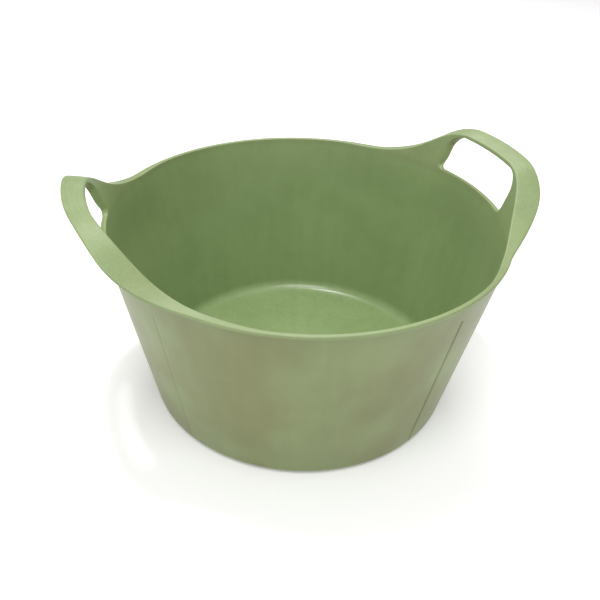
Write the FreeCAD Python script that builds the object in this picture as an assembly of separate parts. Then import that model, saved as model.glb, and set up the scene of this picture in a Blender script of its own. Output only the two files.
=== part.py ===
"""Mortar mixing tub: a shallow flexible tub, moulded in one piece with two loop handles.

Millimetres, +Z up. The origin is at the centre of the standing plane, and the two
handles stand at +X (right) and -X (left). The front of the tub is -Y.

The real tub is one moulding. Each named region of it is a solid of its own here, and
neighbouring regions meet face to face. The two handles bend about their legs' roots, so
each handle is separated from its roots by a shallow V-shaped clearance.
"""
import FreeCAD, Part
import math
import os

from FreeCAD import Vector

# ---- Driving dimensions -------------------------------------------------------------
RIM_RADIUS = 190.0            # outer edge of the rim lip
RIM_HEIGHT = 187.0            # top of the rim lip above the standing plane
BASE_RADIUS = 151.5           # where the outer wall's line meets the standing plane
WALL = 2.8                    # wall, measured level

LIP_WIDTH = 4.8               # rim lip, level, inner edge to outer edge
LIP_HEIGHT = 3.5
LIP_OVERHANG = 2.0            # how far the lip stands out from the wall
LIP_CHAMFER = 0.8

FOOT_HEIGHT = 1.8             # the underside stands on a narrow ring
FOOT_INNER = 118.0
FOOT_OUTER = 130.0
FOOT_CHAMFER = 0.5
FLOOR_THICKNESS = 3.0
FLOOR_EDGE = 132.0            # where the flat floor becomes the base corner
CORNER_TOP = 20.0             # where the base corner becomes the wall
OUTER_CORNER_FILLET = 6.0
INNER_CORNER_FILLET = 13.0
GATE_RADIUS = 5.0             # injection gate mark under the middle of the floor
GATE_HEIGHT = 0.8

WALL_LINES = (-68.8, 27.0, 111.2, 207.0)   # moulding lines down the wall, degrees from +X
LINE_TOP = 164.5
LINE_RADIUS = 1.9             # each line is a round-bottomed groove
LINE_DEPTH = 0.9

HANDLE_RISE = 41.6            # inner edge of the grip above the rim
HANDLE_SHOULDER = 49.2        # half width where the grip's line meets the leg's line
HANDLE_RUNOUT = 102.9         # half width where the leg's line meets the rim's line
SHOULDER_RADIUS = 58.0
RUNOUT_RADIUS = 87.0
HANDLE_SPAN = 60.0            # degrees each side of the handle's middle
STATION_STEP = 4.0            # degrees between the sections of a handle
SKIRT_DEPTH = 24.0            # the wall thickens inward over this height, up to the rim
SKIRT_EDGE = 0.4              # thickness of the skirt's lower edge
PULL_IN = 3.0                 # how much the wall thickens inward at the rim
PULL_END = 0.3                # what is left of that where a handle meets the rim lip
PULL_FADE = (44.0, 60.0)      # degrees over which the thickening dies away
WEB_LEAN = 0.34               # outward lean of the upright web, per unit of height
WEB = 5.8                     # thickness of the web under the flange
WEB_START = (-2.0, 14.0)      # heights about the rim over which the wall becomes the web
FLANGE = 2.6                  # thickness of the turned-out flange
FLANGE_RADIUS = 214.8         # outer edge of the flange over the grip
CROWN_FLATNESS = 0.15         # 0 where that edge is an arc about the tub's axis, 1 where straight
FLANK_DISTANCE = 184.9        # distance from the tub's axis to the flange's straight flank
FLANK_ANGLE = 55.4            # direction of that distance, degrees from the handle's middle
FLANGE_BLEND = 10.7           # softness of the bend from the grip's edge to the flank
RIM_BLEND = 3.0               # softness of the bend from the flank to the rim
FLANGE_TILT = 9.7             # degrees, outer edge upward, at the middle of the grip
TILT_SPAN = 39.0              # degrees from the middle to where the tilt has died away
LEG_DROP = 1.1                # how far the flange's outer edge droops along the legs
DROP_ANGLE = 29.0             # degrees from the middle to where it droops most
DROP_SPREAD = 9.0
ARRIS_DOWN = (0.5, 1.3)       # bevel of the inner edge at the rim and over the grip, downward
ARRIS_ACROSS = (0.5, 2.6)     # and outward

OPENING_HALF = 53.0           # finger opening, half width at its outer end
OPENING_FLARE = 3.7           # how much wider it is, each side, at its inner end
OPENING_TOP = 38.0            # above the rim
SILL_RISE = 1.0               # top of the sill under the opening, above the rim
OPENING_TOP_RADIUS = 15.9
OPENING_SILL_RADIUS = 4.1
OPENING_SIDE_X = 173.7        # the web's inner face beside the opening, at rim height
OPENING_REACH = (-6.0, 20.0)  # the cutting tool's ends, from there

GRIP_HALF = 40.0              # half width of the grip between its two legs
BEND_X = 168.0                # the legs bend about a level line at this distance
BEND_RISE = 6.0               # and this far above the rim
BEND_CLEARANCE = 0.3
BEND_IN = 16.0                # degrees the clearance allows inward
BEND_OUT = 9.0                # degrees the clearance allows outward

BIG = 600.0                   # larger than the tub, for cutting tools

# ---- Values worked out from them ----------------------------------------------------
WALL_TOP_RADIUS = RIM_RADIUS - LIP_OVERHANG
DRAFT = (WALL_TOP_RADIUS - BASE_RADIUS) / RIM_HEIGHT
LIP_INNER = RIM_RADIUS - LIP_WIDTH
LIP_BOTTOM = RIM_HEIGHT - LIP_HEIGHT
FLOOR_TOP = FOOT_HEIGHT + FLOOR_THICKNESS
BEND_Z = RIM_HEIGHT + BEND_RISE
SILL_TOP = RIM_HEIGHT + SILL_RISE

UP = Vector(0, 0, 1)
ORIGIN = Vector(0, 0, 0)


def wall_outer(z):
    """Outer radius of the wall at height z."""
    return BASE_RADIUS + DRAFT * z


def wall_inner(z):
    """Inner radius of the wall at height z."""
    return wall_outer(z) - WALL


# ---- Drawing helpers ----------------------------------------------------------------
def rounded_wire(corners, place):
    """Closed wire through corners (a, b, radius); place turns (a, b) into a 3-D point.

    A corner with a radius is replaced by an arc tangent to its two sides.
    """
    flat = [Vector(a, b, 0) for a, b, _ in corners]
    edges = []
    first = None
    last = None
    for index, (a, b, radius) in enumerate(corners):
        corner = flat[index]
        back = (flat[index - 1] - corner).normalize()
        ahead = (flat[(index + 1) % len(flat)] - corner).normalize()
        if radius:
            half = back.getAngle(ahead) / 2
            inset = radius / math.tan(half)
            middle = (back + ahead).normalize() * (radius / math.sin(half) - radius)
            start = corner + back * inset
            end = corner + ahead * inset
            arc = Part.Arc(place(start), place(corner + middle), place(end))
            arc_edge = arc.toShape()
        else:
            start = end = corner
            arc_edge = None
        if last is None:
            first = start
        else:
            edges.append(Part.LineSegment(place(last), place(start)).toShape())
        if arc_edge:
            edges.append(arc_edge)
        last = end
    edges.append(Part.LineSegment(place(last), place(first)).toShape())
    return Part.Wire(edges)


def in_section(point):
    """(radius, height) to the radial plane at angle 0."""
    return Vector(point.x, 0, point.y)


def ring(corners, start=0.0, span=360.0):
    """Turn a radial section, given as (radius, height, fillet) corners, about the tub's axis."""
    face = Part.Face(rounded_wire(corners, in_section))
    face.rotate(ORIGIN, UP, start)
    return face.revolve(ORIGIN, UP, span)


def box(low, high):
    """Box between two corners."""
    size = [b - a for a, b in zip(low, high)]
    return Part.makeBox(*size, Vector(*low))


def one_solid(shape):
    """The shape's only solid, without leftover splitter edges."""
    clean = shape.removeSplitter()
    if len(clean.Solids) != 1:
        raise ValueError("expected one solid, got %d" % len(clean.Solids))
    return clean.Solids[0]


# ---- Base ---------------------------------------------------------------------------
def foot_ring():
    """Narrow ring that the tub stands on."""
    return ring([
        (FOOT_INNER, FOOT_HEIGHT, 0),
        (FOOT_INNER, FOOT_CHAMFER, 0),
        (FOOT_INNER + FOOT_CHAMFER, 0, 0),
        (FOOT_OUTER - FOOT_CHAMFER, 0, 0),
        (FOOT_OUTER, FOOT_CHAMFER, 0),
        (FOOT_OUTER, FOOT_HEIGHT, 0),
    ])


def floor_panel():
    """Flat floor, with the gate mark under its middle."""
    disc = Part.makeCylinder(FLOOR_EDGE, FLOOR_THICKNESS, Vector(0, 0, FOOT_HEIGHT))
    gate = Part.makeCylinder(GATE_RADIUS, GATE_HEIGHT, Vector(0, 0, FOOT_HEIGHT - GATE_HEIGHT))
    return one_solid(disc.fuse(gate))


def base_corner():
    """Rounded ring that joins the floor to the wall."""
    corner = ring([
        (FLOOR_EDGE, FOOT_HEIGHT, 0),
        (wall_outer(FOOT_HEIGHT), FOOT_HEIGHT, OUTER_CORNER_FILLET),
        (wall_outer(CORNER_TOP), CORNER_TOP, 0),
        (wall_inner(CORNER_TOP), CORNER_TOP, 0),
        (wall_inner(FLOOR_TOP), FLOOR_TOP, INNER_CORNER_FILLET),
        (FLOOR_EDGE, FLOOR_TOP, 0),
    ])
    return one_solid(cut_wall_lines(corner))


# ---- Wall and rim -------------------------------------------------------------------
def wall_line(angle):
    """Round-ended tool that presses one moulding line into the wall's outer face."""
    bottom = FOOT_HEIGHT
    offset = LINE_RADIUS - LINE_DEPTH
    foot = Vector(wall_outer(bottom) + offset, 0, bottom)
    head = Vector(wall_outer(LINE_TOP) + offset, 0, LINE_TOP)
    run = head - foot
    groove = Part.makeCylinder(LINE_RADIUS, run.Length, foot, run)
    tool = groove.fuse(Part.makeSphere(LINE_RADIUS, head))
    tool.rotate(ORIGIN, UP, angle)
    return tool


def cut_wall_lines(shape):
    """Press all the moulding lines into a shape."""
    return shape.cut([wall_line(angle) for angle in WALL_LINES])


def wall_ring(start, span):
    """Plain stretch of the wall, from the base corner to the rim lip."""
    return ring([
        (wall_inner(CORNER_TOP), CORNER_TOP, 0),
        (wall_outer(CORNER_TOP), CORNER_TOP, 0),
        (wall_outer(LIP_BOTTOM), LIP_BOTTOM, 0),
        (wall_inner(LIP_BOTTOM), LIP_BOTTOM, 0),
    ], start, span)


def wall_panel(start, end):
    """Stretch of the wall from one moulding line to the next."""
    return one_solid(cut_wall_lines(wall_ring(start, end - start)))


def rim_lip(middle):
    """Stretch of the rim lip between the two handles."""
    half = 90.0 - HANDLE_SPAN
    return ring([
        (wall_inner(LIP_BOTTOM), LIP_BOTTOM, 0),
        (RIM_RADIUS, LIP_BOTTOM, 0),
        (RIM_RADIUS, RIM_HEIGHT - LIP_CHAMFER, 0),
        (RIM_RADIUS - LIP_CHAMFER, RIM_HEIGHT, 0),
        (LIP_INNER + LIP_CHAMFER, RIM_HEIGHT, 0),
        (wall_inner(RIM_HEIGHT - LIP_CHAMFER), RIM_HEIGHT - LIP_CHAMFER, 0),
    ], middle - half, 2 * half)


# ---- Handles ------------------------------------------------------------------------
def smooth_fade(value, start, end):
    """1 before start, 0 after end, smooth between."""
    part = min(max((value - start) / (end - start), 0.0), 1.0)
    return 1.0 - part * part * (3.0 - 2.0 * part)


def soft_max(a, b, softness):
    """The larger of two numbers, with a soft change-over."""
    return (a + b + math.hypot(a - b, softness)) / 2


def between(ends, share):
    """The value at a share of the way from one of two ends to the other."""
    return ends[0] + (ends[1] - ends[0]) * share


def handle_rise(across):
    """Height of the flange's inner edge above the rim, at a distance across the handle.

    Level over the grip, an arc over the shoulder, a straight leg, and an arc onto the rim.
    """
    slope = math.atan2(HANDLE_RISE, HANDLE_RUNOUT - HANDLE_SHOULDER)
    shoulder = SHOULDER_RADIUS * math.tan(slope / 2)
    runout = RUNOUT_RADIUS * math.tan(slope / 2)
    across = abs(across)
    if across < HANDLE_SHOULDER - shoulder:
        return HANDLE_RISE
    if across < HANDLE_SHOULDER + shoulder * math.cos(slope):
        along = across - (HANDLE_SHOULDER - shoulder)
        return HANDLE_RISE - SHOULDER_RADIUS + math.sqrt(SHOULDER_RADIUS ** 2 - along ** 2)
    if across < HANDLE_RUNOUT - runout * math.cos(slope):
        return (HANDLE_RUNOUT - across) * math.tan(slope)
    if across < HANDLE_RUNOUT + runout:
        along = HANDLE_RUNOUT + runout - across
        return RUNOUT_RADIUS - math.sqrt(RUNOUT_RADIUS ** 2 - along ** 2)
    return 0.0


def flange_outer(angle):
    """Radius of the flange's outer edge at an angle from the handle's middle."""
    flank = FLANK_DISTANCE / math.cos(math.radians(abs(angle) - FLANK_ANGLE))
    straighter = CROWN_FLATNESS * (1 / math.cos(math.radians(angle)) - 1)
    over_grip = -soft_max(-FLANGE_RADIUS * (1 + straighter), -flank, FLANGE_BLEND)
    onto_rim = soft_max(over_grip, RIM_RADIUS - RIM_BLEND / 2, RIM_BLEND)
    return max(onto_rim, RIM_RADIUS)


def web_outer(inner, height):
    """Outer radius of the web at a height, where its inner face is at a radius."""
    plain = smooth_fade(height - RIM_HEIGHT, *WEB_START)
    return plain * wall_outer(height) + (1.0 - plain) * (inner + WEB)


def handle_section(angle):
    """Wire of the handle's section in the radial plane at an angle from its middle."""
    pull = PULL_END + (PULL_IN - PULL_END) * smooth_fade(abs(angle), *PULL_FADE)
    foot = LIP_INNER - pull
    rise = handle_rise(foot * math.sin(math.radians(angle)))
    inner = foot + WEB_LEAN * rise
    top = RIM_HEIGHT + rise
    turn = min(abs(angle) / TILT_SPAN, 1.0) * math.pi / 2
    tilt = math.radians(FLANGE_TILT) * math.cos(turn) ** 2
    outer = flange_outer(angle)
    drop = LEG_DROP * math.exp(-((abs(angle) - DROP_ANGLE) / DROP_SPREAD) ** 2)
    slant = math.tan(tilt) - drop / (outer - inner)
    share = rise / HANDLE_RISE
    arris_down = between(ARRIS_DOWN, share)
    arris_across = between(ARRIS_ACROSS, share)
    skirt = LIP_BOTTOM - SKIRT_DEPTH
    web_edge = web_outer(inner, top - FLANGE)
    points = [
        (wall_inner(skirt) + WALL / 2, skirt),
        (wall_inner(skirt) - SKIRT_EDGE, skirt),
        (wall_inner(LIP_BOTTOM) - pull, LIP_BOTTOM),
        (inner - WEB_LEAN * arris_down, top - arris_down),
        (inner + arris_across, top + arris_across * slant),
        (outer, top + (outer - inner) * slant),
        (outer, top + (outer - inner) * slant - FLANGE),
        (web_edge, top + (web_edge - inner) * slant - FLANGE),
        (wall_outer(LIP_BOTTOM), LIP_BOTTOM),
        (wall_inner(LIP_BOTTOM) + WALL / 2, LIP_BOTTOM),
    ]
    wire = Part.makePolygon([Vector(r, 0, z) for r, z in points + points[:1]])
    wire.rotate(ORIGIN, UP, angle)
    return wire


def handle_blank():
    """The right handle with its skirt, before the finger opening is cut."""
    count = round(2 * HANDLE_SPAN / STATION_STEP)
    angles = [-HANDLE_SPAN + STATION_STEP * index for index in range(count + 1)]
    return Part.makeLoft([handle_section(angle) for angle in angles], True, False)


def opening_outline(depth):
    """Outline of the finger opening, parallel to the web, at a depth from its inner face."""
    half = OPENING_HALF + OPENING_FLARE * (1.0 - depth / WEB)
    top = RIM_HEIGHT + OPENING_TOP
    corners = [
        (-half, SILL_TOP, OPENING_SILL_RADIUS),
        (half, SILL_TOP, OPENING_SILL_RADIUS),
        (half, top, OPENING_TOP_RADIUS),
        (-half, top, OPENING_TOP_RADIUS),
    ]

    def on_web(point):
        lean = WEB_LEAN * (point.y - RIM_HEIGHT)
        return Vector(OPENING_SIDE_X + depth + lean, point.x, point.y)

    return rounded_wire(corners, on_web)


def finger_opening():
    """Tool for the finger opening, which narrows outward."""
    return Part.makeLoft([opening_outline(depth) for depth in OPENING_REACH], True, True)


def bend_profile():
    """Tool that keeps what moves: everything above a shallow V along the bend line."""
    reach = BIG / 2
    inward = math.tan(math.radians(BEND_IN))
    outward = math.tan(math.radians(BEND_OUT))
    bottom = BEND_Z + BEND_CLEARANCE
    points = [
        Vector(BEND_X, -reach, bottom),
        Vector(BEND_X - reach, -reach, bottom + reach * inward),
        Vector(BEND_X - reach, -reach, bottom + BIG),
        Vector(BEND_X + reach, -reach, bottom + BIG),
        Vector(BEND_X + reach, -reach, bottom + reach * outward),
    ]
    wire = Part.makePolygon(points + points[:1])
    return Part.Face(wire).extrude(Vector(0, BIG, 0))


def handle_pieces():
    """The right handle's named pieces, as {name: solid}; front is -Y."""
    handle = handle_blank().cut(finger_opening())
    moving = handle.common(bend_profile())
    still = handle.common(box((0, -BIG, 0), (BIG, BIG, BEND_Z))).cut(wall_ring(0.0, 360.0))
    beside = {"front": (-BIG, -GRIP_HALF), "rear": (GRIP_HALF, BIG)}
    outside = {"front": (-BIG, -OPENING_HALF), "rear": (OPENING_HALF, BIG)}
    pieces = {
        "sill": still.common(box((0, -OPENING_HALF, 0), (BIG, OPENING_HALF, BIG))),
        "grip": moving.common(box((0, -GRIP_HALF, 0), (BIG, GRIP_HALF, BIG))),
    }
    for end in ("front", "rear"):
        low, high = beside[end]
        pieces[end + "_leg"] = moving.common(box((0, low, 0), (BIG, high, BIG)))
        low, high = outside[end]
        pieces[end + "_leg_root"] = still.common(box((0, low, 0), (BIG, high, BIG)))
    return {name: one_solid(shape) for name, shape in pieces.items()}


def left_handle_pieces(pieces):
    """The same pieces turned half round; what was in front is then behind."""
    other_end = {"front": "rear", "rear": "front"}
    turned = {}
    for name, shape in pieces.items():
        end, _, rest = name.partition("_")
        if end in other_end:
            name = other_end[end] + "_" + rest
        copy = shape.copy()
        copy.rotate(ORIGIN, UP, 180)
        turned[name] = copy
    return turned


# ---- The whole tub ------------------------------------------------------------------
def build():
    """All the pieces of the tub, as {node name: solid}."""
    nodes = {
        "foot_ring": foot_ring(),
        "floor_panel": floor_panel(),
        "base_corner": base_corner(),
        "front_rim_lip": rim_lip(-90.0),
        "rear_rim_lip": rim_lip(90.0),
    }
    front_left = WALL_LINES[3] - 360.0
    lines = (front_left,) + WALL_LINES
    for index, side in enumerate(("front", "right", "rear", "left")):
        nodes[side + "_wall"] = wall_panel(lines[index], lines[index + 1])
    right = handle_pieces()
    for name, shape in right.items():
        nodes["right_" + name] = shape
    for name, shape in left_handle_pieces(right).items():
        nodes["left_" + name] = shape
    return nodes


os.makedirs("parts", exist_ok=True)
for node, solid in build().items():
    if not solid.isValid():
        raise ValueError(node + " isn't a valid solid")
    solid.exportStep("parts/" + node + ".step")
    extent = solid.optimalBoundingBox()
    print("%-22s %9.1f mm3   z %6.1f to %6.1f" % (node, solid.Volume, extent.ZMin, extent.ZMax))
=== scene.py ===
"""Looks of the mortar mixing tub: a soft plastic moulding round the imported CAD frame.

The tub is one moulding, so its visible surface is worked out as one closed grid of
columns (angles about the tub's axis) and rows (from the middle of the floor, up the
inside, over the rim and down the outside to the middle of the underside). The grid is
then cut into pieces that stand for the CAD nodes. Neighbouring pieces share their edge
points and normals, so no seam shows between them.

Lengths are in millimetres until a mesh is made, and angles are in degrees. Lengths in
metres are marked where they are named.
"""
import math

import bpy
import numpy as np
from mathutils import Matrix, Vector


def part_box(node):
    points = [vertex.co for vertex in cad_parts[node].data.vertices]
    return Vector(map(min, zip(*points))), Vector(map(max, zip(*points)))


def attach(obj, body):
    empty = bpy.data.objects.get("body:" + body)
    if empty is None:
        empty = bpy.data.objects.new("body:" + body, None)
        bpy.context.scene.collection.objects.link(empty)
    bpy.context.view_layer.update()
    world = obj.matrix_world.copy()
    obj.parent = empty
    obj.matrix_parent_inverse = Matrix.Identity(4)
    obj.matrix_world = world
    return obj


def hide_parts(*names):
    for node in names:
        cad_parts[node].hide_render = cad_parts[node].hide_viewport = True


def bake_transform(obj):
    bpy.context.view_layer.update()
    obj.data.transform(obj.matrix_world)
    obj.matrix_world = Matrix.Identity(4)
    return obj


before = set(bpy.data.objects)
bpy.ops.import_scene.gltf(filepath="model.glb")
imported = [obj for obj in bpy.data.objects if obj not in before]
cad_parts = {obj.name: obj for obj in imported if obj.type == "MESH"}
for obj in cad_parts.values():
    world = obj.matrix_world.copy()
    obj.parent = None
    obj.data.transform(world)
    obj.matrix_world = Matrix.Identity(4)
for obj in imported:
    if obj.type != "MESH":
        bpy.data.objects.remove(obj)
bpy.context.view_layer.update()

MM = 0.001


def lowest(node):
    """Lowest corner of a CAD node, in millimetres."""
    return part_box(node)[0] / MM


def highest(node):
    """Highest corner of a CAD node, in millimetres."""
    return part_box(node)[1] / MM


# ---- Dimensions read from the frame ---------------------------------------------------
RIM_HEIGHT = highest("front_rim_lip").z
LIP_BOTTOM = lowest("front_rim_lip").z
RIM_RADIUS = -lowest("front_rim_lip").y
FOOT_HEIGHT = highest("foot_ring").z
FLOOR_TOP = highest("floor_panel").z
FLOOR_EDGE = highest("floor_panel").x
CORNER_TOP = highest("base_corner").z
GATE_BOTTOM = lowest("floor_panel").z

# ---- Dimensions of the moulding -------------------------------------------------------
BASE_RADIUS = 151.5           # where the outer wall's line meets the standing plane
WALL = 2.8
LIP_OVERHANG = 2.0
OUTER_CORNER_FILLET = 6.0
INNER_CORNER_FILLET = 13.0
GATE_RADIUS = 5.0

WALL_LINES = (-68.8, 27.0)    # moulding lines; the other two are half a turn away
LINE_DEPTHS = (1.3, 0.28)     # of each, and of the one half a turn away from it
LINE_TOP = 164.5
LINE_HALF_WIDTH = 1.9
LINE_SIDES = 0.8              # share of the half width that slopes
LINE_FINE = 0.65              # degrees each side of a line that have fine columns
LINE_FINE_COLUMNS = 13        # columns from one side of that span to the other
LINE_CLEARANCE = 1.4          # how many times LINE_FINE is free of ordinary columns, each side
LINE_END_SPAN = (1.6, -2.0)   # heights about LINE_TOP between which rows are fine
LINE_END_ROWS = 10
LINE_END_CLEARANCE = 5.0      # how far below LINE_TOP the ordinary rows start

HANDLE_RISE = 41.6            # inner edge of the grip above the rim
HANDLE_SHOULDER = 49.2        # half width where the grip's line meets the leg's line
HANDLE_RUNOUT = 102.9         # half width where the leg's line meets the rim's line
SHOULDER_RADIUS = 58.0
RUNOUT_RADIUS = 87.0
PULL_IN = 3.0                 # how much the wall thickens inward below a handle
PULL_FADE = (44.0, 60.0)
PULL_DEPTH = 60.0             # height over which the thickening comes in
WEB_LEAN = 0.34
LEAN_SOFTNESS = 5.0
WEB = 5.8                     # thickness of the web between rim and flange
WEB_START = (-2.0, 14.0)      # heights about the rim over which the wall becomes the web
FLANGE = 2.6
FLANGE_RADIUS = 214.8
CROWN_FLATNESS = 0.15         # 0 where the grip's edge is an arc about the axis, 1 where straight
FLANK_DISTANCE = 184.9
FLANK_ANGLE = 55.4
FLANGE_BLEND = 10.7
RIM_BLEND = 3.0
FLANGE_TILT = 9.7
TILT_SPAN = 39.0
LEG_DROP = 1.1                # how far the flange's outer edge droops along the legs
DROP_ANGLE = 29.0
DROP_SPREAD = 9.0
FLANGE_CROWN = 0.25           # how much the flange's top bulges
ARRIS_DOWN = 0.9              # rounding of the inner edge: downward
ARRIS_ACROSS = (1.0, 5.0)     # and outward, on the rim and over the grip
OUTER_ARRIS = 1.3             # rounding of the outer edge, on top
UNDER_ARRIS = 1.2             # and underneath
UNDER_FILLET = 0.3            # hollow fillet where the lip's underside meets the wall

OPENING_HALF = 53.0           # at the web's outside face
OPENING_FLARE = 1.5           # how much wider it is, each side, at the inside face
OPENING_TOP = RIM_HEIGHT + 38.0
SILL_TOP = RIM_HEIGHT + 1.0
OPENING_TOP_RADIUS = 15.9
OPENING_SILL_RADIUS = 4.1
INSIDE_ROUND = 0.6            # rounding of the opening's inside edge at its top and sill
SIDE_ROUND = 3.6              # and at its two sides
OUTSIDE_ROUND = 0.4           # rounding of its outside edge at its top and sides
SILL_ROUND = 3.0              # and at its sill
SILL_ROUND_FADE = (2.0, 12.0)

# ---- Grid counts ----------------------------------------------------------------------
OPENING_COLUMNS = 22          # from a handle's middle to the side of its opening
HANDLE_COLUMNS = 79           # from a handle's middle to the rim lip
RIM_COLUMNS = 20              # from there to the middle of the front or back
BAND_BOTTOM = 167.5           # below this, the inside and outside walls are plain
SEAM_HEIGHT = 181.5           # where the walls end and the lips and handles begin
SEAM_ROW = 6
ROWS_BELOW = 11               # rows of the band below, beside and above the opening
ROWS_BESIDE = 17
ROWS_ABOVE = 3
WALL_STEPS = 21
FLANGE_STEPS = 7
CORNER_STEPS = 12
EDGE_STEPS = 4
FLOOR_RINGS = (7.0, 15.0, 26.0, 40.0, 56.0, 74.0, 92.0, 108.0, 120.0)
RELAX_STEPS = 900
CORNER_WEIGHT = 5.0           # extra points where the opening's outline turns, mm per radian
FOOT_COLUMNS = 180
FOOT_WIDTH = 12.0
FOOT_ROUND = 0.5
FOOT_ROUND_STEPS = 5
GATE_ROUND = 0.3
SHORTEST = 1e-12              # keeps the normals of unused points from dividing by zero

# ---- Plastic, in linear colour, and studio --------------------------------------------
PLASTIC_DARK = (0.205, 0.285, 0.115)
PLASTIC_LIGHT = (0.290, 0.385, 0.175)
PAINTED_SHADE_TINT = (0.76, 0.62, 0.54)   # painted shade and warm reflected light on the outside of the wall, as a darker, warmer tint
ROUGHNESS = 0.42
POLISH = 0.15                 # how much smoother the floor and the corner round it are
SCUFF_ROUGHNESS = 0.12        # how much rougher a scuff is, times the wear
CLOUD_ROUGHNESS = 0.025       # how far clouds and blotches change the roughness either way
BLOTCH_ROUGHNESS = 0.015
SHADER_VALUES = (
    ("IOR", 1.51),
    ("Specular IOR Level", 0.5),
    ("Subsurface Weight", 0.08),
    ("Subsurface Radius", (1.0, 1.0, 0.6)),
    ("Subsurface Scale", 0.003),
)
STUDIO_HALF = 4.0             # metres, and so are the soft boxes' positions and sizes
STUDIO_DROP = 0.2             # millimetres from the standing plane down to the studio floor
STUDIO_GREY = 0.92
STUDIO_ROUGHNESS = 0.9
STUDIO_SPECULAR = 0.1
WORLD_STRENGTH = 0.50
FLOOR_GLOW = 0.18             # the studio floor's own light, which keeps shadows pale
SOFTBOXES = (                 # name, position, size and power
    ("key", (-0.21, 0.25, 2.08), 0.16, 11.0),
    ("overhead", (0.0, 0.0, 2.6), 2.4, 8.0),
    ("front", (-0.40, -0.95, 2.3), 1.2, 25.0),
    ("front_left", (-1.9, -0.75, 0.9), 1.2, 3.0),
    ("rear", (0.6, 1.4, 1.9), 1.2, 17.0),
)
LIGHT_AIM = (0.0, 0.0, 0.1)   # metres

# ---- Plastic's pattern ----------------------------------------------------------------
CLOUDS = (11.0, 4.0, 0.55)    # waves per metre, detail and roughness of the noise
BLOTCHES = (70.0, 3.0, 0.6)
SPECKS = (900.0, 2.0, 0.6)
STREAKS = (26.0, 4.0, 0.6)    # up and down the wall
STRIAE = (55.0, 5.0, 0.65)    # along the handles
SCUFFS = (140.0, 6.0, 0.7)
# patches of the painted shade on the outside of the wall
SHADE_PATCH_NOISE = (13.0, 2.0, 0.5)
RIPPLE = (34.0, 2.0, 0.4)
PEEL = (240.0, 2.0, 0.5)
GRAIN = (2600.0, 2.0, 0.5)
NOISE_RANGE = (0.3, 0.7)      # where nearly all of a noise's values lie
CLOUD_TONE = 0.22             # how far each pattern changes the tone either way
BLOTCH_TONE = 0.08
SPECK_TONE = 0.07
STREAK_TONE = 0.11
STRIAE_TONE = 0.25
STRIAE_RANGE = 0.15
STRIAE_RISE = (2.0, 14.0)     # heights about the rim over which striae come in
STRIAE_STRETCH = (14.0, 1.0, 14.0)  # of radius, way round and height
STREAK_STRETCH = (3.0, 0.6, 0.6)    # of way round, radius and height
SCUFF_STRETCH = (1.0, 6.0, 2.0)     # of the same
SCUFF_EDGE = (0.60, 0.72)     # noise over which a scuff comes in
SHADE_PATCH_RANGE = (0.35, 0.65)
SHADE_PATCH_LEAST = 0.55         # least share of the painted shade on the outside
PAINTED_SHADE_RISE = (-8.0, -1.0)   # heights about the rim over which the painted shade comes in on the lip
PAINTED_SHADE_LIP = 0.40            # share of the painted shade on the lip and above
FACING_UP = (0.6, 0.9)        # how far up a face looks for striae to come in
FACING_DOWN = (-0.14, -0.05)  # and for the outside's painted shade to fade
FACING_FLOOR = (0.1, 0.5)     # and for the polish to come in
POLISH_TOP = (0.03, 0.08)     # heights in metres over which the polish fades
RIPPLE_BUMP = (0.30, 0.0009)  # strength and height in metres
PEEL_BUMP = (0.22, 0.00014)
STRIAE_BUMP = (0.30, 0.0004)
GRAIN_BUMP = (0.16, 0.00006)

# ---- Camera, with its aim and distance in metres --------------------------------------
CAMERA_AIM = (-0.00277, 0.0, 0.08806)
CAMERA_DISTANCE = 0.7071
CAMERA_ELEVATION = 34.61
CAMERA_ROLL = 2.58
CAMERA_TURN = 22.88
CAMERA_LENS = 41.62
SENSOR_WIDTH = 36.0


# ---- Shape of the tub -----------------------------------------------------------------
def smooth_step(value, start, end):
    """0 before start, 1 after end, smooth between."""
    part = np.clip((np.asarray(value, float) - start) / (end - start), 0.0, 1.0)
    return part * part * (3.0 - 2.0 * part)


def soft_max(a, b, softness):
    """The larger of two numbers, with a soft change-over."""
    return (a + b + np.hypot(a - b, softness)) / 2


DRAFT = (RIM_RADIUS - LIP_OVERHANG - BASE_RADIUS) / RIM_HEIGHT


def wall_outer(z):
    """Outer radius of the plain wall."""
    return BASE_RADIUS + DRAFT * z


def wall_inner(z):
    """Inner radius of the plain wall."""
    return wall_outer(z) - WALL


def pull_in(angle):
    """How far the wall is thickened inward at rim height."""
    return PULL_IN * (1.0 - smooth_step(np.abs(angle), *PULL_FADE))


def inner_radius(angle, z):
    """Radius of the inside face of wall and web."""
    above = soft_max(z - RIM_HEIGHT, 0.0, LEAN_SOFTNESS)
    comes_in = smooth_step(z, RIM_HEIGHT - PULL_DEPTH, RIM_HEIGHT)
    return wall_inner(z) - pull_in(angle) * comes_in + (WEB_LEAN - DRAFT) * above


def outer_radius(angle, z):
    """Radius of the outside face of wall and web."""
    thin = smooth_step(z, RIM_HEIGHT + WEB_START[0], RIM_HEIGHT + WEB_START[1])
    web = inner_radius(angle, z) + WEB
    return (1.0 - thin) * wall_outer(z) + thin * web


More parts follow.
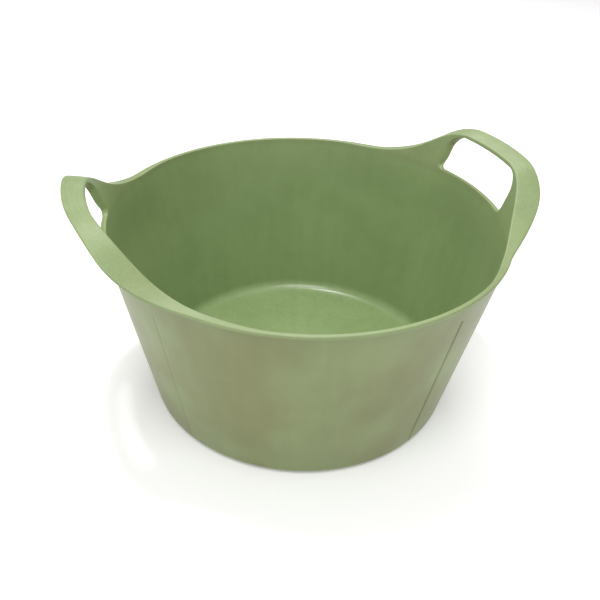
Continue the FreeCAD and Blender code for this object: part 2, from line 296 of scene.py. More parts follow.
def handle_rise(angle):
    """Height of the flange's inner edge above the rim: grip, shoulder, leg and run-out."""
    foot = RIM_RADIUS - LIP_OVERHANG - WALL - PULL_IN
    across = np.abs(foot * np.sin(np.radians(angle)))
    slope = math.atan2(HANDLE_RISE, HANDLE_RUNOUT - HANDLE_SHOULDER)
    shoulder = SHOULDER_RADIUS * math.tan(slope / 2)
    runout = RUNOUT_RADIUS * math.tan(slope / 2)
    past_shoulder = np.clip(across - (HANDLE_SHOULDER - shoulder), 0.0, SHOULDER_RADIUS)
    on_shoulder = HANDLE_RISE - SHOULDER_RADIUS + np.sqrt(SHOULDER_RADIUS ** 2 - past_shoulder ** 2)
    on_leg = (HANDLE_RUNOUT - across) * math.tan(slope)
    before_rim = np.clip(HANDLE_RUNOUT + runout - across, 0.0, RUNOUT_RADIUS)
    on_runout = RUNOUT_RADIUS - np.sqrt(RUNOUT_RADIUS ** 2 - before_rim ** 2)
    leg_start = HANDLE_SHOULDER + shoulder * math.cos(slope)
    leg_end = HANDLE_RUNOUT - runout * math.cos(slope)
    return np.where(across < leg_start, on_shoulder, np.where(across < leg_end, on_leg, on_runout))


def flange_outer(angle):
    """Radius of the outer edge of flange and rim lip."""
    flank = FLANK_DISTANCE / np.cos(np.radians(np.abs(angle) - FLANK_ANGLE))
    straighter = CROWN_FLATNESS * (1.0 / np.cos(np.radians(angle)) - 1.0)
    over_grip = -soft_max(-FLANGE_RADIUS * (1.0 + straighter), -flank, FLANGE_BLEND)
    onto_rim = soft_max(over_grip, RIM_RADIUS - RIM_BLEND / 2, RIM_BLEND)
    beyond = np.abs(angle) > PULL_FADE[1]
    return np.where(beyond, RIM_RADIUS, np.maximum(onto_rim, RIM_RADIUS))


# ---- Columns --------------------------------------------------------------------------
OPENING_ANGLE = math.degrees(math.asin((OPENING_HALF + OPENING_FLARE / 2) / RIM_RADIUS))
HANDLE_ANGLE = OPENING_ANGLE / OPENING_COLUMNS * HANDLE_COLUMNS


def half_turn_columns():
    """Column angles from -90 to 90 degrees about the right handle's middle."""
    over_handle = np.linspace(-HANDLE_ANGLE, HANDLE_ANGLE, 2 * HANDLE_COLUMNS + 1)
    beyond = np.linspace(HANDLE_ANGLE, 90.0, RIM_COLUMNS + 1)[1:]
    angles = np.concatenate([-beyond[::-1], over_handle, beyond])
    for line in WALL_LINES:
        away = np.abs(angles - line) > LINE_CLEARANCE * LINE_FINE
        fine = line + np.linspace(-LINE_FINE, LINE_FINE, LINE_FINE_COLUMNS)
        angles = np.sort(np.concatenate([angles[away], fine]))
    return angles


ANGLES = half_turn_columns()
OPENING_FIRST = int(np.argmin(np.abs(ANGLES + OPENING_ANGLE)))
OPENING_LAST = int(np.argmin(np.abs(ANGLES - OPENING_ANGLE)))
HANDLE_FIRST = int(np.argmin(np.abs(ANGLES + HANDLE_ANGLE)))
HANDLE_LAST = int(np.argmin(np.abs(ANGLES - HANDLE_ANGLE)))


# ---- The band round the opening -------------------------------------------------------
def rounded_corner(centre, radius, start_angle):
    """Quarter circle about a centre, anticlockwise."""
    turn = np.radians(start_angle + np.linspace(0.0, 90.0, 2 * CORNER_STEPS + 1))
    return np.stack([centre[0] + radius * np.cos(turn), centre[1] + radius * np.sin(turn)], 1)


def plain_outline(half, grow):
    """Outline of the opening as (across, height), from its half width, grown all round.

    It runs anticlockwise and starts at the middle of the corner at the sill's left end.
    Its four sides have the grid's numbers of steps.
    """
    low = SILL_TOP + OPENING_SILL_RADIUS
    high = OPENING_TOP - OPENING_TOP_RADIUS
    low_side = half - OPENING_SILL_RADIUS
    high_side = half - OPENING_TOP_RADIUS
    corners = [
        rounded_corner((-low_side, low), OPENING_SILL_RADIUS + grow, 180.0),
        rounded_corner((low_side, low), OPENING_SILL_RADIUS + grow, 270.0),
        rounded_corner((high_side, high), OPENING_TOP_RADIUS + grow, 0.0),
        rounded_corner((-high_side, high), OPENING_TOP_RADIUS + grow, 90.0),
    ]
    across_steps = OPENING_LAST - OPENING_FIRST
    sides = []
    for index, steps in enumerate((across_steps, ROWS_BESIDE, across_steps, ROWS_BESIDE)):
        this = corners[index]
        after = corners[(index + 1) % 4]
        line = np.concatenate([this[CORNER_STEPS:], after[:CORNER_STEPS + 1]])
        gaps = np.hypot(*np.diff(line, axis=0).T)
        turning = np.full(len(gaps), CORNER_WEIGHT * math.pi / 4 / CORNER_STEPS)
        turning[CORNER_STEPS] = 0.0
        along = np.concatenate([[0.0], np.cumsum(gaps + turning)])
        wanted = np.linspace(0.0, along[-1], steps + 1)[:-1]
        sides.append(np.stack([np.interp(wanted, along, line[:, axis]) for axis in (0, 1)], 1))
    return np.concatenate(sides)


def opening_face(half, edge_round, sill_round, side_round):
    """The opening in one face of the web: its outline, outward directions and edge rounding."""
    outline = plain_outline(half, 0.0)
    outward = plain_outline(half, 1.0) - outline
    near_sill = 1.0 - smooth_step(outline[:, 1] - SILL_TOP, *SILL_ROUND_FADE)
    rounding = edge_round + (sill_round - edge_round) * near_sill
    rounding += (side_round - edge_round) * outward[:, 0] ** 4
    return outline, outward, rounding


INSIDE_FACE = opening_face(OPENING_HALF + OPENING_FLARE, INSIDE_ROUND, INSIDE_ROUND, SIDE_ROUND)
OUTSIDE_FACE = opening_face(OPENING_HALF, OUTSIDE_ROUND, SILL_ROUND, OUTSIDE_ROUND)


def grown_outline(face, share):
    """A face's outline of the opening, grown by a share of its edge's rounding."""
    outline, outward, rounding = face
    return outline + outward * (share * rounding)[:, None]


def opening_loop():
    """(column, row) of the band's points round the opening, in the outline's order."""
    first, last = OPENING_FIRST, OPENING_LAST
    low, high = ROWS_BELOW, ROWS_BELOW + ROWS_BESIDE
    sill = [(column, low) for column in range(first, last)]
    right = [(last, row) for row in range(low, high)]
    top = [(column, high) for column in range(last, first, -1)]
    left = [(first, row) for row in range(high, low, -1)]
    return sill + right + top + left


def angle_of(across, radius):
    """Angle of a point at a distance across the handle and a radius."""
    return np.degrees(np.arcsin(across / radius))


def band_grid(top, face, face_radius):
    """Angles and heights of the band's grid in one face of the wall, up to a top edge.

    The points round the opening lie on its outline, and the others are evened out.
    """
    rows = ROWS_BELOW + ROWS_BESIDE + ROWS_ABOVE
    angle = np.repeat(ANGLES[:, None], rows + 1, 1)
    low_part = np.linspace(BAND_BOTTOM, SEAM_HEIGHT, SEAM_ROW + 1)
    share = np.linspace(0.0, 1.0, rows - SEAM_ROW + 1)[1:]
    high_part = SEAM_HEIGHT + (top - SEAM_HEIGHT)[:, None] * share
    height = np.concatenate([np.broadcast_to(low_part, (len(ANGLES), SEAM_ROW + 1)), high_part], 1)
    held = np.zeros(angle.shape, bool)
    held[:, :SEAM_ROW + 1] = held[:, -1] = True
    held[:HANDLE_FIRST + 1] = held[HANDLE_LAST:] = True
    held[OPENING_FIRST:OPENING_LAST + 1, ROWS_BELOW:ROWS_BELOW + ROWS_BESIDE + 1] = True
    columns, loop_rows = np.array(opening_loop()).T
    across, level = grown_outline(face, 1.0).T
    height[columns, loop_rows] = level
    angle[columns, loop_rows] = angle_of(across, face_radius(0.0, level))
    for grid in (angle, height):
        for _ in range(RELAX_STEPS):
            mean = grid.copy()
            mean[1:-1, 1:-1] = (grid[:-2, 1:-1] + grid[2:, 1:-1] + grid[1:-1, :-2] + grid[1:-1, 2:]) / 4
            grid[~held] = mean[~held]
    return angle, height


def opening_rings():
    """Rings of points through the opening's edge, from the inside face to the outside face."""
    turns = np.radians(np.linspace(0.0, 90.0, EDGE_STEPS + 1))[1:]
    steps = [(1 - math.sin(turn), 1 - math.cos(turn)) for turn in turns]
    rings = []
    for share, depth in steps:
        across, z = grown_outline(INSIDE_FACE, share).T
        radius = inner_radius(0.0, z) + depth * INSIDE_FACE[2]
        rings.append(np.stack([angle_of(across, radius), radius, z], 1))
    for share, depth in reversed(steps):
        across, z = grown_outline(OUTSIDE_FACE, share).T
        radius = outer_radius(0.0, z) - depth * OUTSIDE_FACE[2]
        rings.append(np.stack([angle_of(across, radius), radius, z], 1))
    return rings


# ---- Sections -------------------------------------------------------------------------
def rounded(start, corner, end, steps):
    """Points of a rounded corner from start to end. Each point is (radius, height)."""
    points = []
    for part in np.linspace(0.0, 1.0, steps + 1):
        shares = ((1 - part) ** 2, 2 * part * (1 - part), part ** 2)
        points.append(tuple(shares[0] * start[axis] + shares[1] * corner[axis] + shares[2] * end[axis]
                            for axis in (0, 1)))
    return points


def between(start, end, steps):
    """Points strictly between start and end."""
    parts = np.linspace(0.0, 1.0, steps + 1)[1:-1]
    return [(start[0] + (end[0] - start[0]) * part, start[1] + (end[1] - start[1]) * part)
            for part in parts]


def rim_section():
    """Rows over the flange and rim lip, with the top heights of the inner and outer band."""
    rise = handle_rise(ANGLES)
    top = RIM_HEIGHT + rise
    grip_share = rise / HANDLE_RISE
    off_middle = np.clip(np.abs(ANGLES) / TILT_SPAN, 0.0, 1.0)
    tilt = np.tan(math.radians(FLANGE_TILT) * np.cos(off_middle * math.pi / 2) ** 2)
    lip = RIM_HEIGHT - LIP_BOTTOM
    thick = lip + (FLANGE - lip) * grip_share
    inner = inner_radius(ANGLES, top)
    outer = flange_outer(ANGLES)
    drop = LEG_DROP * np.exp(-((np.abs(ANGLES) - DROP_ANGLE) / DROP_SPREAD) ** 2)
    slant = tilt - drop / (outer - inner)
    arris_across = ARRIS_ACROSS[0] + (ARRIS_ACROSS[1] - ARRIS_ACROSS[0]) * grip_share
    outer_top = top + (outer - inner) * slant
    inner_end = top - ARRIS_DOWN
    start = (inner_radius(ANGLES, inner_end), inner_end)
    rows = rounded(start, (inner, top), (inner + arris_across, top + arris_across * slant), 5)[1:]
    edge_start = (outer - OUTER_ARRIS, outer_top - OUTER_ARRIS * slant)
    flat = between(rows[-1], edge_start, FLANGE_STEPS)
    for index, (radius, height) in enumerate(flat):
        crown = FLANGE_CROWN * math.sin(math.pi * (index + 1) / FLANGE_STEPS)
        rows.append((radius, height + crown * grip_share))
    middle = (outer, outer_top - thick / 2)
    edge_end = (outer - UNDER_ARRIS, outer_top - thick - UNDER_ARRIS * slant)
    rows += rounded(edge_start, (outer, outer_top), middle, 5)
    rows += rounded(middle, (outer, outer_top - thick), edge_end, 5)[1:]
    corner_height = top - thick + WEB * slant
    corner = (outer_radius(ANGLES, corner_height), corner_height)
    under_end = (corner[0] + UNDER_FILLET, corner_height + UNDER_FILLET * slant)
    outer_end = corner_height - UNDER_FILLET
    rows += between(rows[-1], under_end, 5)
    rows += rounded(under_end, corner, (outer_radius(ANGLES, outer_end), outer_end), 4)[:-1]
    return rows, inner_end, outer_end


def fillet(before, corner, after, radius, steps):
    """Arc of a given radius that rounds a corner, as (radius, height) points."""
    corner = Vector(corner)
    back = (Vector(before) - corner).normalized()
    ahead = (Vector(after) - corner).normalized()
    half = back.angle(ahead) / 2
    centre = corner + (back + ahead).normalized() * radius / math.sin(half)
    reach = radius / math.tan(half)
    start = corner + back * reach - centre
    end = corner + ahead * reach - centre
    points = []
    for part in np.linspace(0.0, 1.0, steps + 1):
        points.append(tuple(centre + start.slerp(end, part).normalized() * radius))
    return points


def inside_profile():
    """Points from the floor to the foot of the inner wall, then up the wall."""
    floor = [(radius, FLOOR_TOP) for radius in (*FLOOR_RINGS, FLOOR_EDGE)]
    corner = (wall_inner(FLOOR_TOP), FLOOR_TOP)
    above = (wall_inner(CORNER_TOP), CORNER_TOP)
    corner_arc = fillet(floor[-1], corner, above, INNER_CORNER_FILLET, CORNER_STEPS)
    heights = np.linspace(CORNER_TOP, BAND_BOTTOM, WALL_STEPS + 1)[:-1]
    return floor + corner_arc + [(wall_inner(height), height) for height in heights]


def outside_profile():
    """Points from the plain wall's top down the outside to the middle of the underside."""
    by_line_end = LINE_TOP + np.linspace(*LINE_END_SPAN, LINE_END_ROWS)
    below = np.linspace(LINE_TOP - LINE_END_CLEARANCE, CORNER_TOP, WALL_STEPS)
    wall = [(wall_outer(height), height) for height in (*by_line_end, *below)]
    corner = (wall_outer(FOOT_HEIGHT), FOOT_HEIGHT)
    inward = (FLOOR_EDGE, FOOT_HEIGHT)
    corner_arc = fillet(wall[-1], corner, inward, OUTER_CORNER_FILLET, CORNER_STEPS)
    under = [(radius, FOOT_HEIGHT) for radius in (FLOOR_EDGE, *reversed(FLOOR_RINGS[1:]))]
    gate = [(GATE_RADIUS + GATE_ROUND, FOOT_HEIGHT), (GATE_RADIUS, FOOT_HEIGHT - GATE_ROUND),
            (GATE_RADIUS, GATE_BOTTOM + GATE_ROUND), (GATE_RADIUS - GATE_ROUND, GATE_BOTTOM),
            (GATE_RADIUS / 3, GATE_BOTTOM)]
    return wall + corner_arc + under + gate


def line_groove(height):
    """Depth of the moulding lines at one height of the outer wall, for every column."""
    depth = np.zeros(len(ANGLES))
    past_end = max(height - LINE_TOP, 0.0)
    for line, line_depth in zip(WALL_LINES, LINE_DEPTHS):
        across = np.radians(ANGLES - line) * wall_outer(height)
        near = 1.0 - np.clip(np.hypot(across, past_end) / LINE_HALF_WIDTH, 0.0, 1.0)
        depth = np.maximum(depth, line_depth * smooth_step(near, 0.0, LINE_SIDES))
    return depth


# ---- The whole surface ----------------------------------------------------------------
def half_turn():
    """Angle, radius and height of every point of half the tub, and where the named rows are."""
    rows = []
    marks = {}

    def add(angle, radius, height):
        rows.append(np.stack(np.broadcast_arrays(angle + 0.0 * ANGLES, radius, height), 1))

    for radius, height in inside_profile():
        if radius == FLOOR_EDGE:
            marks["floor_edge"] = len(rows)
        if height == CORNER_TOP:
            marks["corner_top"] = len(rows)
        add(ANGLES, inner_radius(ANGLES, height) if height >= CORNER_TOP else radius, height)
    section, inner_end, outer_end = rim_section()
    marks["inner_band"] = len(rows)
    angle, height = band_grid(inner_end, INSIDE_FACE, inner_radius)
    for row in range(angle.shape[1]):
        add(angle[:, row], inner_radius(angle[:, row], height[:, row]), height[:, row])
    for radius, height in section:
        add(ANGLES, radius, height)
    angle, height = band_grid(outer_end, OUTSIDE_FACE, outer_radius)
    for row in reversed(range(angle.shape[1])):
        add(angle[:, row], outer_radius(angle[:, row], height[:, row]), height[:, row])
    marks["outer_band"] = len(rows) - 1
    for radius, height in outside_profile():
        if height == CORNER_TOP:
            marks["outer_corner_top"] = len(rows)
        if radius == FLOOR_EDGE:
            marks["under_edge"] = len(rows)
        add(ANGLES, radius - line_groove(height) * (height > FOOT_HEIGHT), height)
    marks["last"] = len(rows) - 1
    return np.stack(rows, 1), marks


HALF, MARKS = half_turn()
STEPS_IN_HALF = len(ANGLES) - 1
COLUMNS = 2 * STEPS_IN_HALF
ROWS = MARKS["last"] + 1
LOOP = opening_loop()
RING_COUNT = 2 * EDGE_STEPS
LINE_COLUMNS = [int(np.argmin(np.abs(ANGLES - line))) for line in WALL_LINES]


def point_table():
    """Every point of the surface in millimetres: the grid, the openings' rings and the two middles."""
    turned = np.array([180.0, 0.0, 0.0])
    grid = np.concatenate([HALF[:-1], HALF[:-1] + turned]).reshape(-1, 3)
    rings = np.concatenate(opening_rings())
    middles = np.array([[0.0, 0.0, FLOOR_TOP], [0.0, 0.0, GATE_BOTTOM]])
    polar = np.concatenate([grid, rings, rings + turned, middles])
    angle = np.radians(polar[:, 0])
    return np.stack([polar[:, 1] * np.cos(angle), polar[:, 1] * np.sin(angle), polar[:, 2]], 1)


POINTS = point_table()
FIRST_RING = COLUMNS * ROWS
TOP_MIDDLE = len(POINTS) - 2
UNDER_MIDDLE = len(POINTS) - 1


def vertex(column, row):
    """Number of a grid point."""
    return (column % COLUMNS) * ROWS + row


def in_opening(column, row):
    """True for a quad that one of the finger openings takes away."""
    if not OPENING_FIRST <= column % STEPS_IN_HALF < OPENING_LAST:
        return False
    inside_low = MARKS["inner_band"] + ROWS_BELOW
    outside_low = MARKS["outer_band"] - ROWS_BELOW
    return inside_low <= row < inside_low + ROWS_BESIDE or outside_low - ROWS_BESIDE <= row < outside_low


def strip(columns, row, after):
    """Quads between two rows."""
    return [(vertex(c, row), vertex(c, after), vertex(c + 1, after), vertex(c + 1, row))
            for c in columns if after != row + 1 or not in_opening(c, row)]


def opening_edge(half):
    """Quads through the opening of the right (0) or left (1) handle."""
    shift = half * STEPS_IN_HALF
    inside = [vertex(column + shift, MARKS["inner_band"] + row) for column, row in LOOP]
    outside = [vertex(column + shift, MARKS["outer_band"] - row) for column, row in LOOP]
    size = len(LOOP)
    first = FIRST_RING + half * RING_COUNT * size
    starts = [first + ring * size for ring in range(RING_COUNT)]
    rings = [inside, *[list(range(start, start + size)) for start in starts], outside]
    faces = []
    for near, far in zip(rings[:-1], rings[1:]):
        for index in range(size):
            after = (index + 1) % size
            faces.append((near[index], far[index], far[after], near[after]))
    return faces


def middle_fans():
    """Triangles that close the floor and the gate mark at their middles."""
    last = MARKS["last"]
    floor = [(TOP_MIDDLE, vertex(c, 0), vertex(c + 1, 0)) for c in range(COLUMNS)]
    gate = [(UNDER_MIDDLE, vertex(c + 1, last), vertex(c, last)) for c in range(COLUMNS)]
    return floor + gate


def point_normals():
    """Normal of the whole surface at every point, so that pieces meet without a seam."""
    faces = middle_fans() + opening_edge(0) + opening_edge(1)
    for row in range(ROWS - 1):
        faces += strip(range(COLUMNS), row, row + 1)
    normals = np.zeros(POINTS.shape)
    for corners in (3, 4):
        table = np.array([face for face in faces if len(face) == corners])
        across = POINTS[table[:, -2]] - POINTS[table[:, 0]]
        along = POINTS[table[:, -1]] - POINTS[table[:, 1 if corners == 4 else 0]]
        face_normals = np.cross(across, along)
        lengths = np.linalg.norm(face_normals, axis=1)
        face_normals /= np.maximum(lengths, SHORTEST)[:, None] ** 0.5
        for corner in range(corners):
            np.add.at(normals, table[:, corner], face_normals)
    return normals / np.maximum(np.linalg.norm(normals, axis=1), SHORTEST)[:, None]


NORMALS = point_normals()


# ---- Pieces ---------------------------------------------------------------------------
def make_mesh(name, points, faces, normals, material):
    """Mesh object from points in millimetres. A normal of None leaves the face flat."""
    mesh = bpy.data.meshes.new(name)
    mesh.from_pydata([Vector(point) * MM for point in points], [], faces)
    mesh.polygons.foreach_set("use_smooth", [True] * len(faces))
    mesh.update()
    corner_normals = []
    for polygon, own in zip(mesh.polygons, normals):
        for index, corner in enumerate(polygon.vertices):
            corner_normals.append(polygon.normal if own is None else own[index])
    mesh.normals_split_custom_set(corner_normals)
    mesh.materials.append(material)
    piece = bpy.data.objects.new(name, mesh)
    bpy.context.scene.collection.objects.link(piece)
    return piece


def surface_piece(name, material, rows, columns=None, extra_faces=()):
    """Closed piece between two columns, or all round.

    Rows that aren't neighbours are joined by a cap.
    """
    full_circle = columns is None
    first, last = (0, COLUMNS) if full_circle else columns
    open_ended = 0 in rows
    faces = list(extra_faces)
    pairs = list(zip(rows[:-1], rows[1:]))
    if not open_ended:
        pairs.append((rows[-1], rows[0]))
    caps = []
    for row, after in pairs:
        target = faces if after == row + 1 else caps
        target += strip(range(first, last), row, after)
    if not full_circle:
        caps.append(tuple(vertex(last, row) for row in rows))
        caps.append(tuple(vertex(first, row) for row in reversed(rows)))
    used = sorted({corner for face in faces + caps for corner in face})
    place = {corner: index for index, corner in enumerate(used)}
    local = [tuple(place[corner] for corner in face) for face in faces + caps]
    normals = [[NORMALS[corner] for corner in face] for face in faces] + [None] * len(caps)
    return make_mesh(name, POINTS[used], local, normals, material)


def rows_from(start, end):
    """Row numbers from one to another, both included."""
    return list(range(start, end + 1))


INNER_SEAM = MARKS["inner_band"] + SEAM_ROW
OUTER_SEAM = MARKS["outer_band"] - SEAM_ROW


def add_floor(material):
    """Floor panel with its gate mark."""
    rows = rows_from(0, MARKS["floor_edge"]) + rows_from(MARKS["under_edge"], MARKS["last"])
    piece = surface_piece("floor_moulding", material, rows, extra_faces=middle_fans())
    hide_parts("floor_panel")
    return piece


def add_base_corner(material):
    """Rounded corner between the floor and the walls."""
    rows = rows_from(MARKS["floor_edge"], MARKS["corner_top"])
    rows += rows_from(MARKS["outer_corner_top"], MARKS["under_edge"])
    piece = surface_piece("base_corner_moulding", material, rows)
    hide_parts("base_corner")
    return piece


def add_walls(material):
    """Four wall panels between the moulding lines."""
    rows = rows_from(MARKS["corner_top"], INNER_SEAM) + rows_from(OUTER_SEAM, MARKS["outer_corner_top"])
    opposite = [column + STEPS_IN_HALF for column in LINE_COLUMNS]
    lines = [*LINE_COLUMNS, *opposite, LINE_COLUMNS[0] + COLUMNS]
    nodes = ("right_wall", "rear_wall", "left_wall", "front_wall")
    pieces = []
    for node, first, last in zip(nodes, lines[:-1], lines[1:]):
        piece = surface_piece(f"{node}_moulding", material, rows, (first, last))
        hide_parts(node)
        pieces.append(piece)
    return pieces


def add_rim_lips(material):
    """Rim lips at the front and rear, between the handles."""
    rows = rows_from(INNER_SEAM, OUTER_SEAM)
    pieces = []
    for half, node in enumerate(("rear_rim_lip", "front_rim_lip")):
        columns = (HANDLE_LAST + half * STEPS_IN_HALF, HANDLE_FIRST + (half + 1) * STEPS_IN_HALF)
        piece = surface_piece(f"{node}_moulding", material, rows, columns)
        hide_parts(node)
        pieces.append(piece)
    return pieces


def add_handle(side, half, material):
    """One handle with its sill, legs and leg roots."""
    rows = rows_from(INNER_SEAM, OUTER_SEAM)
    columns = (HANDLE_FIRST + half * STEPS_IN_HALF, HANDLE_LAST + half * STEPS_IN_HALF)
    piece = surface_piece(f"{side}_handle_moulding", material, rows, columns, opening_edge(half))
    nodes = ["sill", "front_leg_root", "rear_leg_root", "grip", "front_leg", "rear_leg"]
    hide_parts(*[f"{side}_{node}" for node in nodes])
    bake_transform(piece)
    return piece


def add_foot_ring(material):
    """Raised ring under the floor that the tub stands on."""
    low_corner, high_corner = lowest("foot_ring"), highest("foot_ring")
    outer, top = high_corner.x, high_corner.z
    inner = outer - FOOT_WIDTH
    profile = [(outer, top)]
    profile += fillet((outer, top), (outer, low_corner.z), (inner, 0.0), FOOT_ROUND, FOOT_ROUND_STEPS)
    profile += fillet((outer, 0.0), (inner, 0.0), (inner, top), FOOT_ROUND, FOOT_ROUND_STEPS)
    profile.append((inner, top))
    count = len(profile)
    turns = np.linspace(0.0, math.tau, FOOT_COLUMNS, endpoint=False)
    points = [(r * math.cos(turn), r * math.sin(turn), z) for turn in turns for r, z in profile]
    faces = []
    for column in range(FOOT_COLUMNS):
        here, there = column * count, (column + 1) % FOOT_COLUMNS * count
        for index in range(count):
            after = (index + 1) % count
            faces.append((here + index, here + after, there + after, there + index))
    piece = make_mesh("foot_ring_moulding", points, faces, [None] * len(faces), material)
    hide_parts("foot_ring")
    return piece


# ---- Plastic --------------------------------------------------------------------------
class Nodes:
    """Short way to add and link shader nodes."""

    def __init__(self, material):
        material.use_nodes = True
        self.tree = material.node_tree
        self.shader = self.tree.nodes["Principled BSDF"]
        self.place = self.add("ShaderNodeTexCoord").outputs["Object"]

    def add(self, kind, inputs=(), **settings):
        """Adds a node. Inputs are (name or number, value or socket) pairs."""
        node = self.tree.nodes.new(kind)
        for name, value in settings.items():
            setattr(node, name, value)
        for socket, value in inputs:
            self.set(node.inputs[socket], value)
        return node

    def set(self, socket, value):
        """Links a socket, or sets its value."""
        if isinstance(value, bpy.types.NodeSocket):
            self.tree.links.new(value, socket)
        else:
            socket.default_value = value

    def math(self, operation, *values):
        """Result of a Math node."""
        return self.add("ShaderNodeMath", enumerate(values), operation=operation).outputs[0]

    def noise(self, vector, scale, detail, roughness):
        """Noise from 0 to 1 at so many waves per metre."""
        inputs = [("Vector", vector), ("Scale", scale), ("Detail", detail), ("Roughness", roughness)]
        return self.add("ShaderNodeTexNoise", inputs).outputs["Fac"]

    def remap(self, value, low, high, to_low, to_high):
        """Maps low..high onto to_low..to_high, smoothly, with nothing outside."""
        inputs = [("Value", value), ("From Min", low), ("From Max", high),
                  ("To Min", to_low), ("To Max", to_high)]
        return self.add("ShaderNodeMapRange", inputs, interpolation_type="SMOOTHSTEP").outputs["Result"]

    def upward(self):
        """How far the surface faces upward, from -1 to 1."""
        normal = self.add("ShaderNodeNewGeometry").outputs["Normal"]
        return self.add("ShaderNodeSeparateXYZ", [("Vector", normal)]).outputs["Z"]

    def vector(self, x, y, z):
        """Vector from three values or sockets."""
        return self.add("ShaderNodeCombineXYZ", [("X", x), ("Y", y), ("Z", z)]).outputs["Vector"]

    def bump(self, height, strength, distance, normal=None):
        """Bump node's normal."""
        inputs = [("Height", height), ("Strength", strength), ("Distance", distance)]
        if normal is not None:
            inputs.append(("Normal", normal))
        return self.add("ShaderNodeBump", inputs).outputs["Normal"]


def round_coordinates(nodes):
    """Radius, distance round the rim either way from the right handle, and height, in metres."""
    parts = nodes.add("ShaderNodeSeparateXYZ", [("Vector", nodes.place)]).outputs
    squares = [nodes.math("MULTIPLY", parts[axis], parts[axis]) for axis in ("X", "Y")]
    radius = nodes.math("SQRT", nodes.math("ADD", *squares))
    angle = nodes.math("ABSOLUTE", nodes.math("ARCTAN2", parts["Y"], parts["X"]))
    return radius, nodes.math("MULTIPLY", angle, RIM_RADIUS * MM), parts["Z"]


def about_rim(heights):
    """Heights about the rim, as heights in metres above the standing plane."""
    return [(RIM_HEIGHT + height) * MM for height in heights]


def stretched(nodes, coordinates, factors):
    """Vector of three coordinates, each multiplied by its own factor."""
    return nodes.vector(*[nodes.math("MULTIPLY", *pair) for pair in zip(coordinates, factors)])


def spread(nodes, pattern, middle, reach):
    """Turns noise into values up to reach either way from a middle value."""
    return nodes.remap(pattern, *NOISE_RANGE, middle - reach, middle + reach)


def total(nodes, values):
    """Sum of several values."""
    result = values[0]
    for value in values[1:]:
        result = nodes.math("ADD", result, value)
    return result


def handle_striae(nodes, radius, around, height, upward):
    """Marks about zero along the handles, where they face up."""
    place = stretched(nodes, (radius, around, height), STRIAE_STRETCH)
    marks = nodes.math("SUBTRACT", nodes.noise(place, *STRIAE), 0.5)
    on_handle = nodes.remap(height, *about_rim(STRIAE_RISE), 0.0, 1.0)
    facing_up = nodes.remap(upward, *FACING_UP, 0.0, 1.0)
    return nodes.math("MULTIPLY", marks, nodes.math("MULTIPLY", on_handle, facing_up))


def mixed(nodes, factor, first, second, **settings):
    """Colour mixed from two colours."""
    inputs = [("Factor", factor), (6, first), (7, second)]
    return nodes.add("ShaderNodeMix", inputs, data_type="RGBA", **settings).outputs[2]


def colour_with_painted_shade(nodes, tone, height, upward):
    """Plastic's colour for a tone from -1 to 1, with painted shade and warm reflected light on the
    outside of the wall and on the lip.
    """
    share = nodes.remap(tone, -1.0, 1.0, 0.0, 1.0)
    plain = mixed(nodes, share, (*PLASTIC_DARK, 1.0), (*PLASTIC_LIGHT, 1.0))
    # Painted shade: faces that look outward and down, and the lip, get a darker, warmer tint in patches.
    on_lip = nodes.remap(height, *about_rim(PAINTED_SHADE_RISE), 0.0, PAINTED_SHADE_LIP)
    outside = nodes.math("MAXIMUM", nodes.remap(upward, *FACING_DOWN, 1.0, 0.0), on_lip)
    shade_patches = nodes.remap(nodes.noise(nodes.place, *SHADE_PATCH_NOISE), *SHADE_PATCH_RANGE, SHADE_PATCH_LEAST, 1.0)
    painted_shade = nodes.math("MULTIPLY", outside, shade_patches)
    return mixed(nodes, painted_shade, plain, (*PAINTED_SHADE_TINT, 1.0), blend_type="MULTIPLY")


def plastic_roughness(nodes, clouds, blotches, scuffed, height, upward):
    """Roughness with its changes from place to place, lower on the polished floor."""
    rough = total(nodes, [spread(nodes, clouds, ROUGHNESS, CLOUD_ROUGHNESS),
                          spread(nodes, blotches, 0.0, BLOTCH_ROUGHNESS), scuffed])
    polish = nodes.math("MULTIPLY", nodes.remap(upward, *FACING_FLOOR, 0.0, POLISH),
                        nodes.remap(height, *POLISH_TOP, 1.0, 0.0))
    return nodes.math("SUBTRACT", rough, polish)


def mould_normal(nodes, striae, striation):
    """Normal with ripple, orange peel, striae and grain."""
    normal = nodes.bump(nodes.noise(nodes.place, *RIPPLE), *RIPPLE_BUMP)
    normal = nodes.bump(nodes.noise(nodes.place, *PEEL), *PEEL_BUMP, normal)
    strength, depth = STRIAE_BUMP
    normal = nodes.bump(striae, strength * striation, depth, normal)
    return nodes.bump(nodes.noise(nodes.place, *GRAIN), *GRAIN_BUMP, normal)


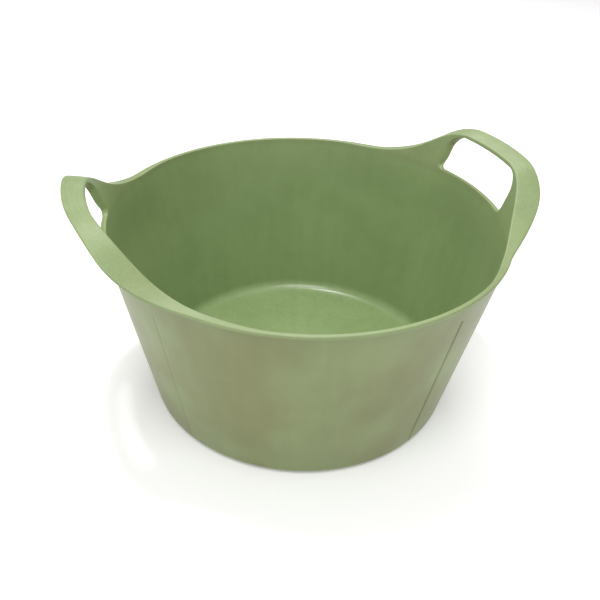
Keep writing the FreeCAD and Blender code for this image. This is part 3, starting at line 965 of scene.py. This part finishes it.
def add_plastic(name, striation, wear):
    """Soft matte polyethylene with mould grain, flow marks, light wear, and painted shade with warm
    reflected light on the outside.

    striation is how much of the lengthwise marking of the handles shows, and wear how
    much of the scuffing.
    """
    material = bpy.data.materials.new(name)
    nodes = Nodes(material)
    radius, around, height = round_coordinates(nodes)
    upward = nodes.upward()
    clouds = nodes.noise(nodes.place, *CLOUDS)
    blotches = nodes.noise(nodes.place, *BLOTCHES)
    specks = nodes.noise(nodes.place, *SPECKS)
    streaks = nodes.noise(stretched(nodes, (around, radius, height), STREAK_STRETCH), *STREAKS)
    scuffs = nodes.noise(stretched(nodes, (around, radius, height), SCUFF_STRETCH), *SCUFFS)
    scuff_mask = nodes.remap(scuffs, *SCUFF_EDGE, 0.0, 1.0)
    striae = handle_striae(nodes, radius, around, height, upward)
    striae_tone = STRIAE_TONE * striation
    tone = total(nodes, [
        spread(nodes, clouds, 0.0, CLOUD_TONE),
        spread(nodes, blotches, 0.0, BLOTCH_TONE),
        spread(nodes, specks, 0.0, SPECK_TONE),
        spread(nodes, streaks, 0.0, STREAK_TONE),
        nodes.remap(striae, -STRIAE_RANGE, STRIAE_RANGE, -striae_tone, striae_tone),
        nodes.math("MULTIPLY", scuff_mask, wear),
    ])
    scuffed = nodes.math("MULTIPLY", scuff_mask, SCUFF_ROUGHNESS * wear)
    rough = plastic_roughness(nodes, clouds, blotches, scuffed, height, upward)
    inputs = nodes.shader.inputs
    nodes.set(inputs["Base Color"], colour_with_painted_shade(nodes, tone, height, upward))
    nodes.set(inputs["Roughness"], rough)
    nodes.set(inputs["Normal"], mould_normal(nodes, striae, striation))
    for socket, value in SHADER_VALUES:
        nodes.set(inputs[socket], value)
    return material


# ---- Studio ---------------------------------------------------------------------------
def add_floor_stage():
    """Plain pale studio floor with a faint glow of its own."""
    material = bpy.data.materials.new("studio_floor")
    material.use_nodes = True
    shader = material.node_tree.nodes["Principled BSDF"]
    shader.inputs["Base Color"].default_value = (STUDIO_GREY, STUDIO_GREY, STUDIO_GREY, 1.0)
    shader.inputs["Roughness"].default_value = STUDIO_ROUGHNESS
    shader.inputs["Specular IOR Level"].default_value = STUDIO_SPECULAR
    shader.inputs["Emission Color"].default_value = (1.0, 1.0, 1.0, 1.0)
    shader.inputs["Emission Strength"].default_value = FLOOR_GLOW
    half = STUDIO_HALF
    mesh = bpy.data.meshes.new("studio_floor")
    corners = [(-half, -half, 0.0), (half, -half, 0.0), (half, half, 0.0), (-half, half, 0.0)]
    mesh.from_pydata(corners, [], [(0, 1, 2, 3)])
    mesh.materials.append(material)
    floor = bpy.data.objects.new("studio_floor", mesh)
    floor.location.z = -STUDIO_DROP * MM
    bpy.context.scene.collection.objects.link(floor)


def add_softbox(name, position, size, power):
    """Round area light that points at the tub."""
    light = bpy.data.lights.new(name, "AREA")
    light.shape = "DISK"
    light.size = size
    light.energy = power
    lamp = bpy.data.objects.new(name, light)
    lamp.location = position
    lamp.rotation_euler = (Vector(LIGHT_AIM) - Vector(position)).to_track_quat("-Z", "Y").to_euler()
    bpy.context.scene.collection.objects.link(lamp)


def add_light():
    """Plain soft studio light: a bright surrounding, wide soft boxes and a small key above."""
    world = bpy.data.worlds.new("studio")
    world.use_nodes = True
    background = world.node_tree.nodes["Background"]
    background.inputs["Color"].default_value = (1.0, 1.0, 1.0, 1.0)
    background.inputs["Strength"].default_value = WORLD_STRENGTH
    bpy.context.scene.world = world
    for name, position, size, power in SOFTBOXES:
        add_softbox(name, position, size, power)


def add_camera():
    """Camera in front of the tub, above it and a little to its left."""
    elevation = math.radians(CAMERA_ELEVATION)
    turn = Matrix.Rotation(math.radians(-CAMERA_TURN), 4, "Z")
    back = Vector((0.0, -math.cos(elevation), math.sin(elevation)))
    place = Matrix.Translation(Vector(CAMERA_AIM) + CAMERA_DISTANCE * back)
    pitch = Matrix.Rotation(math.pi / 2 - elevation, 4, "X")
    roll = Matrix.Rotation(math.radians(CAMERA_ROLL), 4, "Z")
    lens = bpy.data.cameras.new("camera")
    lens.lens = CAMERA_LENS
    lens.sensor_width = SENSOR_WIDTH
    camera = bpy.data.objects.new("camera", lens)
    camera.matrix_world = turn @ place @ pitch @ roll
    bpy.context.scene.collection.objects.link(camera)
    bpy.context.scene.camera = camera


def build():
    """Makes every piece, and lets each of the tub's fixed pieces ride on the tub's body."""
    tub_plastic = add_plastic("tub_plastic_moulded", striation=0.0, wear=0.25)
    handle_plastic = add_plastic("handle_plastic_moulded", striation=1.0, wear=0.45)
    fixed = [add_floor(tub_plastic), add_base_corner(tub_plastic), add_foot_ring(tub_plastic)]
    fixed += add_walls(tub_plastic) + add_rim_lips(tub_plastic)
    for piece in fixed:
        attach(piece, "tub")
    for half, side in enumerate(("right", "left")):
        add_handle(side, half, handle_plastic)


bpy.context.scene.view_settings.view_transform = "Standard"
add_camera()
add_floor_stage()
add_light()
build()
